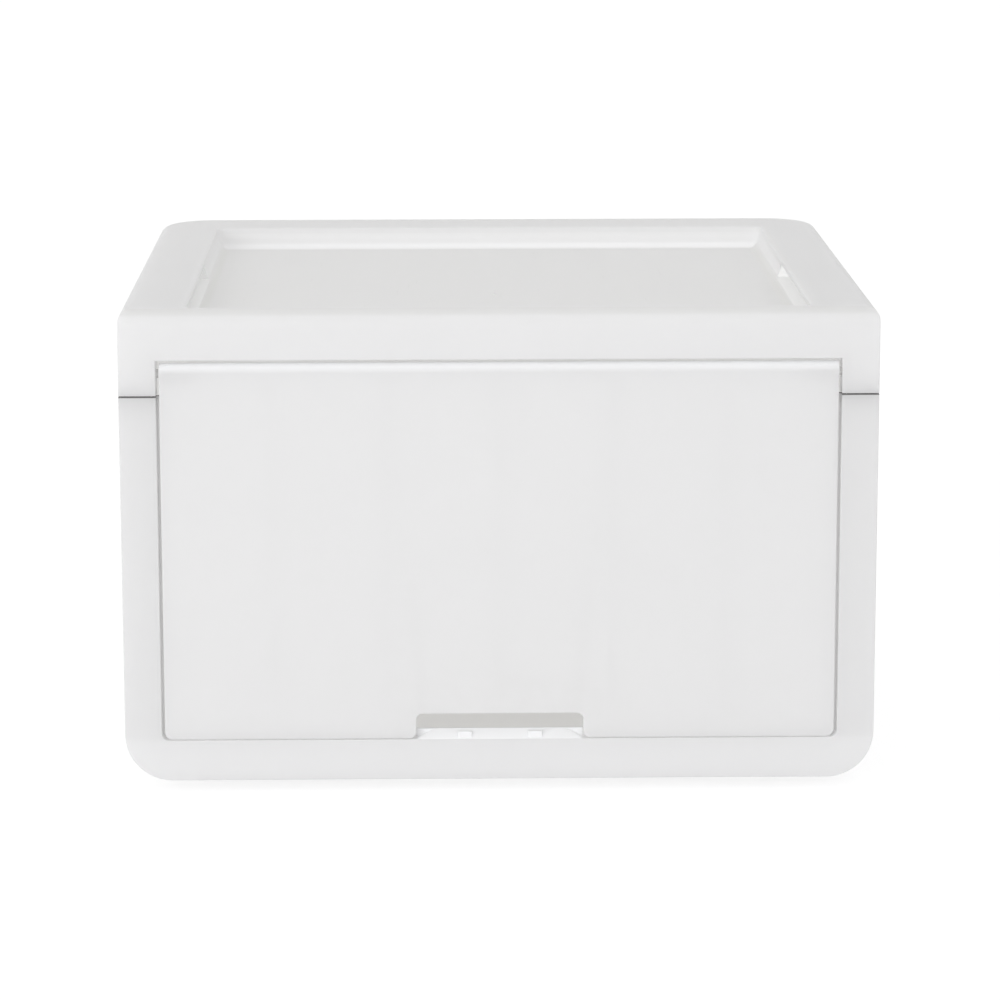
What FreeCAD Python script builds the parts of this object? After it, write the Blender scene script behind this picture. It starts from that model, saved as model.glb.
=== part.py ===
import FreeCAD, Part
import math
import os
import Sketcher
from FreeCAD import Vector

# Stackable storage box with a top-hinged front flap, in millimetres.
# X runs across the front, Y from the front (-Y) to the back, Z up.
# The origin lies under the middle of the box, on the plane that the base plateau stands on.

SIZES = (
    # Outside of the box
    ("box_width", 400.0),
    ("box_depth", 380.0),
    ("wall_height", 254.0),
    ("wall", 2.5),
    ("rear_corner", 32.0),
    ("lower_edge", 25.0),
    ("upper_edge", 7.0),
    ("front_edge", 0.6),
    # Header above the flap
    ("header_height", 26.75),
    ("lean_height", 16.5),
    ("lean_run", 0.84),
    ("header_edge", 9.3),
    ("header_crest", 0.1),
    # Seam between the tub and the cover
    ("seam_below_barrel", 6.4),
    ("seam_gap", 0.7),
    ("tongue_height", 8.0),
    ("tongue_root", 6.0),
    ("tongue", 2.0),
    ("lap_clearance", 0.3),
    ("rib", 2.0),
    ("rib_count", 4.0),
    ("rib_end", 1.0),
    # Snap hooks on the tongue
    ("hook_width", 14.0),
    ("hook_height", 3.2),
    ("hook_rise", 3.0),
    ("hook_catch", 0.9),
    ("hook_clearance", 0.3),
    ("hook_count", 3.0),
    # Front opening and its stop
    ("post_width", 19.6),
    ("rail_height", 22.0),
    ("opening_corner", 4.0),
    ("rebate_depth", 6.0),
    ("stop", 2.0),
    ("stop_overlap", 4.5),
    ("return_wall", 2.5),
    # Ramp and nubs under the finger notch
    ("ramp_clearance", 0.65),
    ("ramp_end_run", 9.0),
    ("ramp_end_round", 12.0),
    ("nub_spacing", 37.5),
    ("nub_width", 7.5),
    ("nub_drop", 0.6),
    ("nub_foot", 1.0),
    # Flap
    ("side_gap", 1.7),
    ("bottom_gap", 0.5),
    ("top_gap", 2.0),
    ("flap_skin", 2.5),
    ("flap_rim", 2.0),
    ("rest_clearance", 0.3),
    ("flap_corner", 4.0),
    ("notch_width", 89.3),
    ("notch_height", 13.5),
    ("notch_corner", 3.5),
    ("barrel_radius", 5.5),
    ("barrel_wall", 2.5),
    ("barrel_end", 20.0),
    ("flap_rib", 1.8),
    ("flap_rib_depth", 2.6),
    ("flap_rib_count", 5.0),
    ("flap_rib_pitch", 60.0),
    # Hinge pins
    ("pin_radius", 2.3),
    ("pin_running", 0.05),
    ("pin_grip", 6.7),
    ("pin_tail", 1.6),
    ("pin_chamfer", 0.5),
    ("hinge_wall_margin", 0.5),
    # Tray in the roof
    ("tray_front", 10.0),
    ("tray_back_rim", 46.0),
    ("tray_side_rim", 35.6),
    ("tray_depth", 12.35),
    ("tray_draft", 2.0),
    ("tray_foot_round", 8.0),
    ("tray_corner", 4.0),
    ("tray_edge", 1.2),
    ("gate_radius", 1.3),
    ("gate_depth", 0.4),
    ("gate_place", 137.0),
    # Slots beside the tray
    ("slot_reach", 5.6),
    ("slot_height", 7.2),
    ("slot_front", 12.0),
    ("slot_length", 172.0),
    # Plateau under the floor
    ("base_drop", 6.0),
    ("base_side_clearance", 1.6),
    ("base_back_clearance", 1.5),
    ("base_front_clearance", 16.0),
    ("base_corner", 6.0),
    ("base_edge", 1.5),
)

# Places that several pieces share, as expressions of the sheet
HALF = "sizes.box_width / 2"
DEEP = "sizes.box_depth / 2"
FOOT = "sizes.base_drop"
FLOOR = f"{FOOT} + sizes.wall"
ROOF = f"{FOOT} + sizes.wall_height"
CEILING = f"{ROOF} - sizes.wall"
RAIL = f"{FOOT} + sizes.rail_height"
HEAD = f"{ROOF} - sizes.header_height"
SEAM = f"{HEAD} - sizes.top_gap - 2 * sizes.barrel_radius - sizes.seam_below_barrel"
COVER = f"{SEAM} + sizes.seam_gap"
OPEN = f"{HALF} - sizes.post_width"
FLAP = f"{OPEN} - sizes.side_gap"
FLAP_FOOT = f"{RAIL} + sizes.bottom_gap"
PIVOT = f"{HEAD} - sizes.top_gap - sizes.barrel_radius"
NOTCH = "sizes.notch_width / 2"
RAMP = f"{NOTCH} - sizes.ramp_clearance"
STOP_TOP = f"{RAIL} + sizes.stop_overlap"
TRAY = f"{HALF} - sizes.tray_side_rim"
TRAY_FLOOR = f"{ROOF} - sizes.tray_depth"
BASE = f"{TRAY} - sizes.base_side_clearance"
LAP = "sizes.wall + sizes.lap_clearance"
LEDGE = f"{SEAM} + sizes.tongue_height"
OVERLAP = "0.5"

# Distances in millimetres that tell edges apart, and the least volume that a feature changes
TOUCH = 0.01
APART = 1.0
LEAST_CHANGE = 0.1


def front(depth):
    """Y of a plane at a depth behind the front of the box."""
    return f"{depth} - {DEEP}"


def back(depth):
    """Y of a plane at a depth in front of the rear of the box."""
    return f"{DEEP} - ({depth})"


def sheet_of_sizes(doc):
    """Spreadsheet with one named cell for each driving size."""
    sheet = doc.addObject("Spreadsheet::Sheet", "sizes")
    for row, (alias, size) in enumerate(SIZES, start=1):
        sheet.set(f"A{row}", alias)
        sheet.set(f"B{row}", str(size))
        sheet.setAlias(f"B{row}", alias)
    doc.recompute()
    return sheet


def number(body, text):
    """Value of an expression of the sheet."""
    return float(body.Document.getObject("sizes").evalExpression(text))


def new_body(doc, label):
    body = doc.addObject("PartDesign::Body", label)
    body.Label = label
    return body


def new_sketch(body, name, role, offset):
    """Sketch parallel to one of the body's own origin planes, at an offset along its normal."""
    sketch = body.newObject("Sketcher::SketchObject", name)
    plane = [item for item in body.Origin.OriginFeatures if item.Role == role][0]
    sketch.AttachmentSupport = [(plane, "")]
    sketch.MapMode = "FlatFace"
    sketch.setExpression("AttachmentOffset.Base.z", offset)
    return sketch


def plan_sketch(body, name, height):
    """Sketch seen from above: its axes are X and Y."""
    return new_sketch(body, name, "XY_Plane", height)


def front_sketch(body, name, depth="0"):
    """Sketch seen from the front: its axes are X and Z."""
    return new_sketch(body, name, "XZ_Plane", f"{DEEP} - ({depth})")


def side_sketch(body, name, offset="0"):
    """Sketch seen from the right: its axes are Y and Z."""
    return new_sketch(body, name, "YZ_Plane", offset)


def hold_point(sketch, index, spot, corner):
    """Tie a point of the sketch to two expressions."""
    for kind, value, text in (("DistanceX", spot.x, corner[0]), ("DistanceY", spot.y, corner[1])):
        key = sketch.addConstraint(Sketcher.Constraint(kind, -1, 1, index, 1, value))
        sketch.setExpression(f"Constraints[{key}]", text)


def outline(body, sketch, corners):
    """Closed outline through corners written as (across, up) or (across, up, radius) expressions.

    Every corner is a held construction point. The sides pass through these points, and a corner
    with a radius is an arc tangent to its two sides.
    """
    spots = [Vector(number(body, c[0]), number(body, c[1]), 0) for c in corners]
    count = len(corners)
    starts, ends, arcs = [], [], []
    for i, corner in enumerate(corners):
        if len(corner) == 2:
            starts.append(spots[i])
            ends.append(spots[i])
            arcs.append(None)
            continue
        radius = number(body, corner[2])
        before = (spots[i - 1] - spots[i]).normalize()
        after = (spots[(i + 1) % count] - spots[i]).normalize()
        half = before.getAngle(after) / 2
        reach = radius / math.tan(half)
        middle = spots[i] + (before + after).normalize() * (radius / math.sin(half))
        first, last = spots[i] + before * reach, spots[i] + after * reach
        left_turn = before.cross(after).z < 0
        ends.append(first)
        starts.append(last)
        a, b = (first, last) if left_turn else (last, first)
        turn = [math.atan2(p.y - middle.y, p.x - middle.x) for p in (a, b)]
        arcs.append((middle, radius, turn[0], turn[1], left_turn))

    points = [sketch.addGeometry(Part.Point(spot), True) for spot in spots]
    sides = []
    for i in range(count):
        line = Part.LineSegment(starts[i], ends[(i + 1) % count])
        sides.append(sketch.addGeometry(line, False))
    for i, corner in enumerate(corners):
        hold_point(sketch, points[i], spots[i], corner)
        previous, following = sides[i - 1], sides[i]
        if arcs[i] is None:
            sketch.addConstraint(Sketcher.Constraint("Coincident", previous, 2, points[i], 1))
            sketch.addConstraint(Sketcher.Constraint("Coincident", following, 1, points[i], 1))
            continue
        middle, radius, begin, end, left_turn = arcs[i]
        circle = Part.Circle(middle, Vector(0, 0, 1), radius)
        arc = sketch.addGeometry(Part.ArcOfCircle(circle, begin, end), False)
        near, far = (1, 2) if left_turn else (2, 1)
        sketch.addConstraint(Sketcher.Constraint("PointOnObject", points[i], 1, previous))
        sketch.addConstraint(Sketcher.Constraint("PointOnObject", points[i], 1, following))
        sketch.addConstraint(Sketcher.Constraint("Tangent", previous, 2, arc, near))
        sketch.addConstraint(Sketcher.Constraint("Tangent", arc, far, following, 1))
        key = sketch.addConstraint(Sketcher.Constraint("Radius", arc, radius))
        sketch.setExpression(f"Constraints[{key}]", corner[2])


def circle(body, sketch, across, up, radius):
    """Circle with its centre and its radius tied to expressions."""
    spot = Vector(number(body, across), number(body, up), 0)
    size = number(body, radius)
    round_edge = sketch.addGeometry(Part.Circle(spot, Vector(0, 0, 1), size), False)
    for kind, value, text in (("DistanceX", spot.x, across), ("DistanceY", spot.y, up)):
        key = sketch.addConstraint(Sketcher.Constraint(kind, -1, 1, round_edge, 3, value))
        sketch.setExpression(f"Constraints[{key}]", text)
    key = sketch.addConstraint(Sketcher.Constraint("Radius", round_edge, size))
    sketch.setExpression(f"Constraints[{key}]", radius)


def box_outline(body, sketch, low_x, low_y, high_x, high_y):
    corners = ((low_x, low_y), (high_x, low_y), (high_x, high_y), (low_x, high_y))
    outline(body, sketch, corners)


def volume(body):
    solid = body.Tip.Shape if body.Tip is not None else None
    return solid.Volume if solid is not None and not solid.isNull() else 0.0


def extrude(body, kind, name, sketch, length, reverse, symmetric):
    """Pad or pocket that is sure to add to the solid or to cut into it."""
    solid = body.Tip.Shape if body.Tip is not None else None
    feature = body.newObject(kind, name)
    feature.Profile = sketch
    feature.Reversed = reverse
    if symmetric:
        feature.SideType = "Symmetric"
    feature.setExpression("Length", length)
    sketch.Visibility = False
    body.Document.recompute()
    if not feature.isValid():
        raise ValueError(f"{name} fails: {feature.getStatusString()}")
    if solid is not None:
        tool = feature.AddSubShape.copy()
        tool.Placement = feature.Placement.multiply(tool.Placement)
        shared = solid.common(tool).Volume
        change = shared if kind == "PartDesign::Pocket" else tool.Volume - shared
        if change < LEAST_CHANGE:
            raise ValueError(f"{name} points the wrong way or misses the solid")
    return feature


def pad(body, name, sketch, length, reverse=False, symmetric=False):
    return extrude(body, "PartDesign::Pad", name, sketch, length, reverse, symmetric)


def pocket(body, name, sketch, length, reverse=False, symmetric=False):
    return extrude(body, "PartDesign::Pocket", name, sketch, length, reverse, symmetric)


def edges_where(body, test):
    """Names of the edges of the body's last feature whose bounding box passes a test."""
    edges = body.Tip.Shape.Edges
    return [f"Edge{i}" for i, edge in enumerate(edges, start=1) if test(edge.BoundBox)]


def near(a, b):
    return abs(a - b) < TOUCH


def soften(body, name, test, radius, kind="PartDesign::Fillet"):
    """Round or bevel the edges that pass a test."""
    names = edges_where(body, test)
    if not names:
        raise ValueError(f"{name} finds no edge")
    base = body.Tip
    feature = body.newObject(kind, name)
    feature.Base = (base, names)
    feature.setExpression("Size" if kind.endswith("Chamfer") else "Radius", radius)
    body.Document.recompute()
    if not feature.isValid():
        raise ValueError(f"{name} fails: {feature.getStatusString()}")
    return feature


def hollow(body, name, void):
    """Cut the solid of another body, the empty space inside a shell, out of this one."""
    before = volume(body)
    cut = body.newObject("PartDesign::Boolean", name)
    cut.Type = "Cut"
    cut.setObjects([void])
    body.Document.recompute()
    if volume(body) >= before:
        raise ValueError(f"{name} misses the solid")


def repeat(body, name, feature, axis, length, count):
    """Even row of copies of a feature along one of the body's axes, over a whole length."""
    pattern = body.newObject("PartDesign::LinearPattern", name)
    pattern.Originals = [feature]
    line = [item for item in body.Origin.OriginFeatures if item.Role == axis][0]
    pattern.Direction = (line, [""])
    pattern.setExpression("Length", length)
    pattern.setExpression("Occurrences", count)
    body.Tip = pattern
    body.Document.recompute()
    return pattern


def shell_plan(inset):
    """Plan of the box, drawn in from its outside by an inset, with round rear corners."""
    side = f"{HALF} - ({inset})"
    radius = f"sizes.rear_corner - ({inset})"
    return (
        (f"-({side})", front(inset)),
        (side, front(inset)),
        (side, back(inset), radius),
        (f"-({side})", back(inset), radius),
    )


def lap_plan(inset, thickness):
    """Plan of a band that follows the inside of the walls and ends at the two post returns."""
    side = f"{HALF} - ({inset})"
    inner = f"{HALF} - ({inset}) - ({thickness})"
    end = f"{OPEN} + sizes.return_wall + sizes.lap_clearance"
    radius = f"sizes.rear_corner - ({inset})"
    inner_radius = f"sizes.rear_corner - ({inset}) - ({thickness})"
    deep = f"{inset} + {thickness}"
    return (
        (f"-({end})", front(inset)),
        (f"-({side})", front(inset)),
        (f"-({side})", back(inset), radius),
        (side, back(inset), radius),
        (side, front(inset)),
        (end, front(inset)),
        (end, front(deep)),
        (inner, front(deep)),
        (inner, back(deep), inner_radius),
        (f"-({inner})", back(deep), inner_radius),
        (f"-({inner})", front(deep)),
        (f"-({end})", front(deep)),
    )


def round_outer_bottom(body):
    z, y = number(body, FOOT), -number(body, DEEP)
    soften(
        body, "tub_lower_edges",
        lambda b: near(b.ZMin, z) and near(b.ZMax, z) and b.YMax > y + APART,
        "sizes.lower_edge",
    )


def tub_shell(body):
    """Open shell with round rear corners, a stepped floor and a hollow plateau below it."""
    plan = plan_sketch(body, "tub_plan", FOOT)
    outline(body, plan, shell_plan("0"))
    pad(body, "tub_block", plan, f"{SEAM} - ({FOOT})")
    round_outer_bottom(body)

    low, high = front("sizes.tray_front + sizes.base_front_clearance"), \
        back("sizes.tray_back_rim + sizes.base_back_clearance")
    foot = plan_sketch(body, "base_plan", FOOT)
    corner = "sizes.base_corner"
    outline(body, foot, (
        (f"-({BASE})", low, corner), (BASE, low, corner), (BASE, high, corner), (f"-({BASE})", high, corner),
    ))
    pad(body, "base_plateau", foot, "sizes.base_drop", reverse=True)
    soften(
        body, "base_bevel", lambda b: near(b.ZMax, 0) and near(b.ZMin, 0), "sizes.base_edge",
        "PartDesign::Chamfer",
    )

    void = new_body(body.Document, "tub_void")
    inside = plan_sketch(void, "tub_inner_plan", FLOOR)
    outline(void, inside, shell_plan("sizes.wall"))
    pad(void, "tub_void_block", inside, f"{SEAM} - ({FLOOR})")
    z, y = number(void, FLOOR), number(void, front("sizes.wall"))
    soften(
        void, "tub_inner_edges",
        lambda b: near(b.ZMin, z) and near(b.ZMax, z) and b.YMax > y + APART,
        "sizes.lower_edge - sizes.wall",
    )
    hollow(body, "tub_cavity", void)

    well = plan_sketch(body, "base_inner_plan", FLOOR)
    side = f"{BASE} - sizes.wall"
    radius = "sizes.base_corner - sizes.wall"
    low_in, high_in = f"{low} + sizes.wall", f"{high} - sizes.wall"
    outline(body, well, (
        (f"-({side})", low_in, radius), (side, low_in, radius),
        (side, high_in, radius), (f"-({side})", high_in, radius),
    ))
    pocket(body, "base_well", well, "sizes.base_drop")


def tub_front(body):
    """Opening between the posts and above the rail, with its rebate and stop."""
    cut = front_sketch(body, "opening_outline")
    outline(body, cut, (
        (f"-({OPEN})", RAIL, "sizes.opening_corner"), (OPEN, RAIL, "sizes.opening_corner"),
        (OPEN, f"{SEAM} + {OVERLAP}"), (f"-({OPEN})", f"{SEAM} + {OVERLAP}"),
    ))
    pocket(body, "tub_opening", cut, "sizes.wall")

    rebate = front_sketch(body, "rebate_outline")
    outer = f"{OPEN} + sizes.return_wall"
    below = f"{RAIL} - sizes.return_wall"
    outer_round = "sizes.opening_corner + sizes.return_wall"
    outline(body, rebate, (
        (f"-({outer})", SEAM), (f"-({outer})", below, outer_round), (outer, below, outer_round),
        (outer, SEAM), (OPEN, SEAM), (OPEN, RAIL, "sizes.opening_corner"),
        (f"-({OPEN})", RAIL, "sizes.opening_corner"), (f"-({OPEN})", SEAM),
    ))
    pad(body, "tub_rebate", rebate, "sizes.rebate_depth + sizes.stop", reverse=True)

    ledge = front_sketch(body, "stop_outline", "sizes.rebate_depth")
    inner = f"{OPEN} - sizes.stop_overlap"
    outline(body, ledge, (
        (f"-({outer})", SEAM), (f"-({outer})", below, outer_round), (outer, below, outer_round),
        (outer, SEAM), (inner, SEAM), (inner, STOP_TOP), (f"-({inner})", STOP_TOP), (f"-({inner})", SEAM),
    ))
    pad(body, "tub_stop", ledge, "sizes.stop", reverse=True)


def tub_ramp(body):
    """Sloped ramp from the rail up to the stop under the finger notch, with two nubs."""
    hump = front_sketch(body, "ramp_outline")
    top = f"{RAMP} - sizes.ramp_end_run"
    outline(body, hump, (
        (f"-({RAMP})", f"{RAIL} - {OVERLAP}"), (RAMP, f"{RAIL} - {OVERLAP}"), (RAMP, RAIL),
        (top, STOP_TOP, "sizes.ramp_end_round"), (f"-({top})", STOP_TOP, "sizes.ramp_end_round"),
        (f"-({RAMP})", RAIL),
    ))
    pad(body, "ramp_block", hump, "sizes.rebate_depth", reverse=True)

    slope = side_sketch(body, "ramp_slope")
    lip, rear = front("0"), front("sizes.rebate_depth")
    outline(body, slope, (
        (f"{lip} - {OVERLAP}", RAIL), (lip, RAIL), (rear, STOP_TOP), (f"{lip} - {OVERLAP}", STOP_TOP),
    ))
    pocket(body, "ramp_cut", slope, f"2 * ({RAMP})", symmetric=True)

    for side, sign in (("left", "-"), ("right", "")):
        nub = side_sketch(body, f"nub_{side}_profile", f"{sign}(sizes.nub_spacing / 2)")
        outline(body, nub, (
            (front("sizes.nub_foot"), RAIL), (rear, RAIL), (rear, f"{STOP_TOP} - sizes.nub_drop"),
            (front("sizes.nub_foot"), f"{STOP_TOP} - sizes.nub_drop"),
        ))
        pad(body, f"nub_{side}", nub, "sizes.nub_width", symmetric=True)


def tub_tongue(body):
    """Band that rises inside the cover, on a root that grows out of the walls."""
    root = plan_sketch(body, "tongue_root_plan", f"{SEAM} - sizes.tongue_root")
    outline(body, root, lap_plan(f"sizes.wall - {OVERLAP}", f"{OVERLAP} + sizes.lap_clearance + sizes.tongue"))
    pad(body, "tongue_root_band", root, "sizes.tongue_root")
    band = plan_sketch(body, "tongue_plan", f"{SEAM} - {OVERLAP}")
    outline(body, band, lap_plan(LAP, "sizes.tongue"))
    pad(body, "tongue_band", band, f"sizes.tongue_height + {OVERLAP}")


def hook_profile(inner, tip, low):
    """Wedge with a flat catch face below and a long lead-in above."""
    return (
        (inner, low), (tip, low), (tip, f"{low} + sizes.hook_height - sizes.hook_rise"),
        (inner, f"{low} + sizes.hook_height"),
    )


def tub_hooks(body):
    """Wedges on the tongue that catch in the cover, in a row on each side and along the back."""
    low = f"{SEAM} + sizes.hook_height"
    root = f"{LAP} + {OVERLAP}"
    tip = "sizes.wall - sizes.hook_catch"
    first = f"{DEEP} - 2 * sizes.rear_corner"
    for side, sign in (("left", "-"), ("right", "")):
        wedge = new_sketch(body, f"hook_{side}_profile", "XZ_Plane", first)
        outline(body, wedge, hook_profile(
            f"{sign}({HALF} - ({root}))", f"{sign}({HALF} - ({tip}))", low,
        ))
        one = pad(body, f"hook_{side}", wedge, "sizes.hook_width", symmetric=True)
        repeat(body, f"hooks_{side}", one, "Y_Axis", f"2 * ({first})", "sizes.hook_count")
    across = f"{HALF} - 2 * sizes.rear_corner"
    wedge = side_sketch(body, "hook_back_profile", f"-({across})")
    outline(body, wedge, hook_profile(back(root), back(tip), low))
    one = pad(body, "hook_back", wedge, "sizes.hook_width", symmetric=True)
    repeat(body, "hooks_back", one, "X_Axis", f"2 * ({across})", "sizes.hook_count")


def soften_front(body, name, keep):
    """Slightly round the edges that lie in the front plane of the box and pass a test."""
    y = -number(body, DEEP)
    soften(
        body, name, lambda b: near(b.YMin, y) and near(b.YMax, y) and keep(b), "sizes.front_edge",
    )


def body_tub(doc):
    body = new_body(doc, "body_tub")
    tub_shell(body)
    tub_front(body)
    seam = number(body, SEAM)
    soften_front(body, "tub_front_edges", lambda b: b.ZMin < seam - APART)
    tub_ramp(body)
    tub_tongue(body)
    tub_hooks(body)
    return body


def round_roof(body, name, height, inset):
    """Soft edges along the sides and the back of a block, at a height."""
    z, y = number(body, height), -number(body, f"{DEEP} - ({inset})")
    soften(
        body, name,
        lambda b: near(b.ZMin, z) and near(b.ZMax, z) and b.YMax > y + APART,
        f"sizes.upper_edge - ({inset})",
    )


def round_header(body, name, height, inset, lean):
    """Front face that leans back by a run over its upper band and rolls over into the top.

    The roll meets the top at a slight angle, so that it ends in a plain edge.
    """
    face, top = front(inset), front(f"{inset} + {lean}")
    crest = f"{height} + sizes.header_crest"
    outside = f"{face} - {OVERLAP}"
    beyond = front(f"{inset} + {lean} + 2 * sizes.header_edge")
    bottom = f"{height} - sizes.lean_height"
    profile = side_sketch(body, f"{name}_profile")
    outline(body, profile, (
        (face, bottom), (top, crest, f"sizes.header_edge - ({inset})"), (beyond, crest),
        (beyond, f"{crest} + {OVERLAP}"), (outside, f"{crest} + {OVERLAP}"), (outside, bottom),
    ))
    pocket(body, name, profile, "sizes.box_width", symmetric=True)


def cover_shell(body):
    """Upper walls and roof, hollow from below, with a leaning band along the header."""
    plan = plan_sketch(body, "cover_plan", COVER)
    outline(body, plan, shell_plan("0"))
    height = f"{ROOF} - ({COVER})"
    pad(body, "cover_block", plan, height)
    round_roof(body, "roof_edges", ROOF, "0")
    round_header(body, "header_front", ROOF, "0", "sizes.lean_run")

    void = new_body(body.Document, "cover_void")
    inside = plan_sketch(void, "cover_inner_plan", COVER)
    outline(void, inside, shell_plan("sizes.wall"))
    pad(void, "cover_void_block", inside, f"{height} - sizes.wall")
    round_roof(void, "roof_inner_edges", CEILING, "sizes.wall")
    round_header(void, "header_back", CEILING, "sizes.wall", "sizes.lean_run")
    hollow(body, "cover_cavity", void)


def tray_void(doc):
    """Space of the tray: a drafted section across the roof, ended by the same draft at both ends."""
    void = new_body(doc, "tray_void")
    draft, radius = "sizes.tray_draft", "sizes.tray_foot_round"
    section = front_sketch(void, "tray_section", "sizes.tray_front")
    outline(void, section, (
        (f"-({TRAY})", ROOF), (f"-({TRAY} - {draft})", TRAY_FLOOR, radius),
        (f"{TRAY} - {draft}", TRAY_FLOOR, radius), (TRAY, ROOF),
    ))
    length = "sizes.box_depth - sizes.tray_front - sizes.tray_back_rim"
    pad(void, "tray_space", section, length, reverse=True)
    for end, rim, sign in (
        ("front", front("sizes.tray_front"), "+"), ("back", back("sizes.tray_back_rim"), "-"),
    ):
        outside = "-" if sign == "+" else "+"
        wall = side_sketch(void, f"tray_{end}_profile")
        inner = f"{rim} {sign} {draft} {sign} 2 * {radius}"
        outer = f"{rim} {outside} {OVERLAP}"
        under = f"{TRAY_FLOOR} - {OVERLAP}"
        outline(void, wall, (
            (rim, ROOF), (f"{rim} {sign} {draft}", TRAY_FLOOR, radius), (inner, TRAY_FLOOR),
            (inner, under), (outer, under), (outer, ROOF),
        ))
        pocket(void, f"tray_{end}_wall", wall, "sizes.box_width", symmetric=True)
    roof = number(void, ROOF)
    soften(
        void, "tray_corners", lambda b: near(b.ZMax, roof) and b.ZMin < roof - APART, "sizes.tray_corner",
    )
    return void


def cover_tray(body):
    """Sunk tray in the roof, with a round foot and a slot under each side rim."""
    rise = "sizes.tray_depth + sizes.wall / 2"
    tray_back = back("sizes.tray_back_rim")
    block = plan_sketch(body, "tray_block_plan", f"{TRAY_FLOOR} - sizes.wall")
    side = f"{TRAY} + sizes.wall"
    box_outline(
        body, block, f"-({side})", front("sizes.tray_front - sizes.wall"), side, f"{tray_back} + sizes.wall",
    )
    pad(body, "tray_block", block, rise)

    slot_low = f"{CEILING} - sizes.slot_height"
    slot_side = f"{TRAY} + sizes.slot_reach"
    slot_back = "sizes.slot_front + sizes.slot_length"
    housing = plan_sketch(body, "slot_housing_plan", f"{slot_low} - sizes.wall")
    box_outline(
        body, housing, f"-({slot_side} + sizes.wall)", front("sizes.slot_front - sizes.wall"),
        f"{slot_side} + sizes.wall", front(f"{slot_back} + sizes.wall"),
    )
    pad(body, "slot_housing", housing, "sizes.wall + sizes.slot_height + sizes.wall / 2")

    hollow(body, "tray_cut", tray_void(body.Document))

    gate = plan_sketch(body, "gate_mark", TRAY_FLOOR)
    circle(body, gate, "0", front("sizes.gate_place"), "sizes.gate_radius")
    pocket(body, "gate_dimple", gate, "sizes.gate_depth")

    slot = side_sketch(body, "slot_profile")
    box_outline(body, slot, front("sizes.slot_front"), slot_low, front(slot_back), CEILING)
    pocket(body, "slots", slot, f"2 * ({slot_side})", symmetric=True)

    roof, half = number(body, ROOF), number(body, TRAY)
    first, last = number(body, front("sizes.tray_front")), number(body, tray_back)
    soften(
        body, "tray_edges",
        lambda b: near(b.ZMin, roof) and b.XMax < half + APART and b.XMin > -half - APART
        and b.YMin > first - APART and b.YMax < last + APART,
        "sizes.tray_edge",
    )


def cover_front(body):
    """Upper part of the opening with its hinge walls, header flange and pin holes."""
    cut = front_sketch(body, "cover_opening_outline")
    box_outline(body, cut, f"-({OPEN})", f"{COVER} - {OVERLAP}", OPEN, HEAD)
    pocket(body, "cover_opening", cut, "sizes.wall")

    flange = front_sketch(body, "hinge_wall_outline")
    outer = f"{OPEN} + sizes.return_wall"
    over = f"{HEAD} + sizes.return_wall"
    outline(body, flange, (
        (f"-({outer})", COVER), (f"-({OPEN})", COVER), (f"-({OPEN})", HEAD), (OPEN, HEAD),
        (OPEN, COVER), (outer, COVER), (outer, over), (f"-({outer})", over),
    ))
    pad(body, "hinge_walls", flange, "2 * sizes.barrel_radius + sizes.hinge_wall_margin", reverse=True)

    hole = side_sketch(body, "pin_hole")
    circle(body, hole, front("sizes.barrel_radius"), PIVOT, "sizes.pin_radius + sizes.pin_running")
    pocket(body, "pin_holes", hole, f"2 * ({outer} + {OVERLAP})", symmetric=True)


def cover_hook_recesses(body):
    """Recesses in the walls that the hooks of the tub snap into."""
    low = f"{SEAM} + sizes.hook_height - sizes.hook_clearance"
    tall = "sizes.hook_height + 2 * sizes.hook_clearance"
    deep = "sizes.hook_catch + sizes.hook_clearance"
    wide = "sizes.hook_width + 2 * sizes.hook_clearance"
    first = f"{DEEP} - 2 * sizes.rear_corner"
    side = new_sketch(body, "side_recess_profile", "XZ_Plane", first)
    edge = f"{HALF} - sizes.wall"
    for sign in ("-", ""):
        box_outline(
            body, side, f"{sign}({edge} - {OVERLAP})", low, f"{sign}({edge} + {deep})", f"{low} + {tall}",
        )
    one = pocket(body, "side_recess", side, wide, symmetric=True)
    repeat(body, "side_recesses", one, "Y_Axis", f"2 * ({first})", "sizes.hook_count")
    across = f"{HALF} - 2 * sizes.rear_corner"
    rear = side_sketch(body, "rear_recess_profile", f"-({across})")
    box_outline(
        body, rear, back(f"sizes.wall + {OVERLAP}"), low, back(f"sizes.wall - ({deep})"), f"{low} + {tall}",
    )
    one = pocket(body, "rear_recess", rear, wide, symmetric=True)
    repeat(body, "rear_recesses", one, "X_Axis", f"2 * ({across})", "sizes.hook_count")


def cover_ribs(body):
    """Ribs on the inside of the walls, whose lower ends rest on the tongue of the tub."""
    tall = f"{ROOF} - sizes.upper_edge - sizes.rib_end - ({LEDGE})"
    reach = f"{LAP} + sizes.tongue"
    root = f"sizes.wall - {OVERLAP}"
    first = f"-({DEEP} - 3 * sizes.rear_corner)"
    side = plan_sketch(body, "side_rib_plan", LEDGE)
    for sign in ("-", ""):
        box_outline(
            body, side, f"{sign}({HALF} - ({reach}))", f"{first} - sizes.rib / 2",
            f"{sign}({HALF} - ({root}))", f"{first} + sizes.rib / 2",
        )
    one = pad(body, "side_rib", side, tall)
    repeat(body, "side_ribs", one, "Y_Axis", f"2 * ({DEEP} - 3 * sizes.rear_corner)", "sizes.rib_count")
    across = f"-({HALF} - 3 * sizes.rear_corner)"
    rear = plan_sketch(body, "rear_rib_plan", LEDGE)
    box_outline(
        body, rear, f"{across} - sizes.rib / 2", back(reach), f"{across} + sizes.rib / 2", back(root),
    )
    one = pad(body, "rear_rib", rear, tall)
    repeat(body, "rear_ribs", one, "X_Axis", f"2 * ({HALF} - 3 * sizes.rear_corner)", "sizes.rib_count")


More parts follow.
